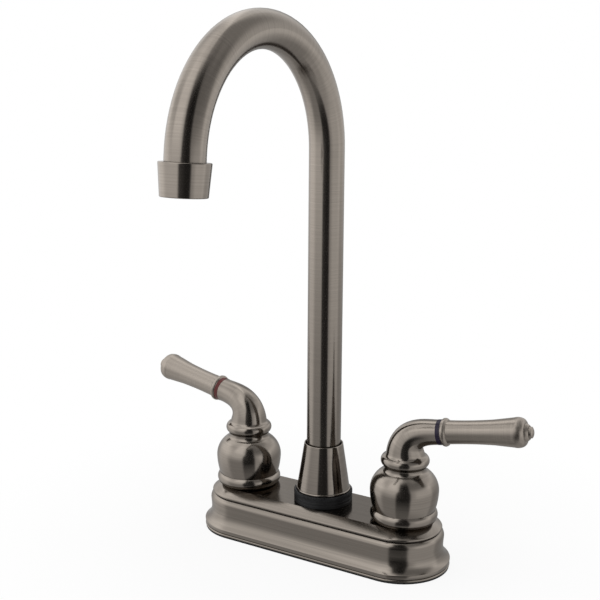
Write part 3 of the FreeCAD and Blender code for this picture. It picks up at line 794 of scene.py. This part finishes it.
# %% Hang the dome
dome_middle = Vector((0.0, 0.0, 0.14))
dome_radius = 0.5
dome_mesh = bpy.data.meshes.new("studio_dome")
shell = bmesh.new()
bmesh.ops.create_uvsphere(shell, u_segments=64, v_segments=32, radius=dome_radius,
                          matrix=Matrix.Translation(dome_middle))
shell.to_mesh(dome_mesh)
shell.free()
dome = bpy.data.objects.new("studio_dome", dome_mesh)
scene.collection.objects.link(dome)
dome.visible_camera = False
dome.visible_diffuse = False
dome.visible_transmission = False
dome.visible_shadow = False

dome_light, tree, shader = new_material("studio_dome")
tree.nodes.remove(shader)
dome_light.cycles.emission_sampling = "NONE"
dome_mesh.materials.append(dome_light)
print("dome of", len(dome_mesh.polygons), "faces")

# %% [markdown]
# A place on the dome is told by two angles: its bearing, counted from the camera towards its right, and its
# elevation. A panel of light is a rectangle in these two angles with soft edges, and the room is the sum of
# its panels over a dim base, which is a little brighter low down.

# %% Turn a place on the dome into two angles
outward = vector_node(tree, "NORMALIZE",
                      vector_node(tree, "SUBTRACT", node(tree, "ShaderNodeNewGeometry").outputs["Position"],
                                  dome_middle))


def toward(direction):
    """How far the place lies along a direction."""
    dot = node(tree, "ShaderNodeVectorMath", operation="DOT_PRODUCT")
    feed(tree, dot.inputs[0], outward)
    dot.inputs[1].default_value = direction
    return dot.outputs["Value"]


camera_side = toward(seen_from(camera_azimuth, 0.0))
right_side = toward(seen_from(camera_azimuth + math.pi / 2, 0.0))
bearing = math_node(tree, "DEGREES", math_node(tree, "ARCTAN2", right_side, camera_side))
elevation = math_node(tree, "DEGREES", math_node(tree, "ARCSINE", toward((0, 0, 1))))
print("bearing and elevation ready")

# %% Light the panels


def smooth_step(value, start, end, low=0.0, high=1.0):
    step = node(tree, "ShaderNodeMapRange", interpolation_type="SMOOTHSTEP")
    for socket, number in zip(step.inputs, (value, start, end, low, high)):
        feed(tree, socket, number)
    return step.outputs[0]


def band(angle, start, end, softness):
    """1 between two angles, 0 outside them, with soft edges centred on both."""
    rise = smooth_step(angle, start - softness, start + softness)
    fall = smooth_step(angle, end - softness, end + softness, 1.0, 0.0)
    return math_node(tree, "MULTIPLY", rise, fall)


def panel(bearings, elevations, softness, strength):
    """Light from a rectangle of directions; the bearing is counted on past 180 behind the faucet."""
    counted_on = math_node(tree, "WRAP", bearing, bearings[0] + 330.0, bearings[0] - 30.0)
    level = band(counted_on, *bearings, softness)
    upright = band(elevation, *elevations, softness)
    return math_node(tree, "MULTIPLY", math_node(tree, "MULTIPLY", level, upright), strength)


# bearings, elevations and softness of the edges in degrees, then the strength
panels = [
    ((-172, -82), (-52, 100), 8, 0.12),    # left wall, all of it
    ((-82, -8), (-19, 100), 8, 0.12),      # the part of it in front
    ((-172, -8), (-6, 100), 12, 0.30),     # left wall above the table
    ((-130, -80), (-34, 24), 13, 0.27),    # its bright rear part
    ((-66, -27), (20, 66), 9, 0.34),       # key panel, high in front on the left
    ((-110, -60), (46, 78), 10, 0.18),     # the key panel's wing
    ((-146, -100), (20, 48), 9, 0.30),     # panel behind on the left
    ((-210, -145), (42, 100), 10, 0.30),   # panel high behind
    ((-160, 30), (66, 100), 12, 0.16),     # ceiling
    ((20, 92), (-50, 14), 6, 0.14),        # right wall, low
    ((34, 88), (-18, 10), 9, 0.20),        # bounce card in front on the right
    ((86, 155), (-16, 14), 9, 0.14),       # rear part of the right wall
    ((82, 160), (2, 46), 13, 0.33),        # rim panel behind on the right
    ((128, 205), (34, 90), 14, 0.32),      # ceiling behind
    ((40, 140), (48, 100), 10, 0.10),      # ceiling on the right
]
room = smooth_step(elevation, 10.0, 40.0, 0.30, 0.20)
for light in panels:
    room = math_node(tree, "ADD", room, panel(*light))
print("room with", len(panels), "panels of light")

# %% [markdown]
# The gap in the tent is a tall dark slot, a little wider and further to the left below than above. It is
# closed softly at the top and half lit by the table at the bottom. What one piece mirrors of another is
# nearly black in the photograph, so a ray that has already bounced twice off metal finds the room dimmed.

# %% Cut the dark gap and light the dome
gap_light, second_bounce_light = 0.085, 0.28
gap_middle = smooth_step(elevation, 0.0, 20.0, -3.5, -1.0)
gap_half = smooth_step(elevation, 0.0, 20.0, 22.5, 18.0)
from_middle = math_node(tree, "ABSOLUTE", math_node(tree, "SUBTRACT", bearing, gap_middle))
beside_gap = smooth_step(math_node(tree, "SUBTRACT", from_middle, gap_half), -4.5, 4.5)
over_gap = smooth_step(elevation, 44.0, 68.0)
under_gap = smooth_step(elevation, -56.0, -28.0, 0.55, 0.0)
light_left = math_node(tree, "MAXIMUM", beside_gap, math_node(tree, "MAXIMUM", over_gap, under_gap))
room = math_node(tree, "MULTIPLY", room, spread(tree, light_left, 0.0, 1.0, gap_light, 1.0))

bounces = node(tree, "ShaderNodeLightPath").outputs["Glossy Depth"]
bounced_twice = math_node(tree, "GREATER_THAN", bounces, 1.5)
room = math_node(tree, "MULTIPLY", room, spread(tree, bounced_twice, 0.0, 1.0, 1.0, second_bounce_light))

glow = node(tree, "ShaderNodeEmission")
feed(tree, glow.inputs["Strength"], room)
feed(tree, tree.nodes["Material Output"].inputs["Surface"], glow.outputs[0])
print("dome lit, light left in the gap", gap_light)

# %% [markdown]
# ## Floor and lamp
# The floor is a plain pale sheet. Away from the faucet it glows plain white for the camera, so that it melts
# into the background; near the faucet a tenth of what we see is the real sheet, and so the faucet keeps a
# faint, soft shadow. One broad lamp above on the left gives that shadow its direction.

# %% Lay the floor
floor_half = 9.0
floor_lift = 0.0001  # just above the gasket's underside, so that the gasket covers it when seen from below
near_faucet, away_from_it = 0.08, 0.22
glow_near_faucet = 0.90
floor_mesh = bpy.data.meshes.new("floor")
floor_mesh.from_pydata([(x * floor_half, y * floor_half, floor_lift)
                        for x, y in ((-1, -1), (1, -1), (1, 1), (-1, 1))], [], [(0, 1, 2, 3)])
floor = bpy.data.objects.new("floor", floor_mesh)
scene.collection.objects.link(floor)
floor.visible_glossy = False
floor_material, tree, shader = new_material("floor")
floor_mesh.materials.append(floor_material)
floor_material.cycles.emission_sampling = "NONE"
shader.inputs["Base Color"].default_value = (0.82, 0.82, 0.82, 1.0)
shader.inputs["Roughness"].default_value = 0.9
shader.inputs["Specular IOR Level"].default_value = 0.0
distance = node(tree, "ShaderNodeVectorMath", operation="LENGTH")
feed(tree, distance.inputs[0], node(tree, "ShaderNodeNewGeometry").outputs["Position"])
glow_share = spread(tree, distance.outputs["Value"], near_faucet, away_from_it, glow_near_faucet, 1.0)
white = node(tree, "ShaderNodeEmission")
blend = node(tree, "ShaderNodeMixShader")
feed(tree, blend.inputs[0], math_node(tree, "MULTIPLY", glow_share,
                                      node(tree, "ShaderNodeLightPath").outputs["Is Camera Ray"]))
feed(tree, blend.inputs[1], shader.outputs[0])
feed(tree, blend.inputs[2], white.outputs[0])
feed(tree, tree.nodes["Material Output"].inputs["Surface"], blend.outputs[0])
print("floor laid")

# %% Hang the lamp
lamp_data = bpy.data.lights.new("soft_lamp", "AREA")
lamp_data.size = 1.2
lamp_data.energy = 6.0
lamp = bpy.data.objects.new("soft_lamp", lamp_data)
scene.collection.objects.link(lamp)
lamp.location = (-0.9, -0.6, 1.3)
lamp_aim = Vector((0, 0, 0.1))
lamp.rotation_euler = (lamp_aim - lamp.location).to_track_quat("-Z", "Y").to_euler()
lamp.visible_glossy = False
scene.view_settings.view_transform = "Standard"
print("lamp hung")
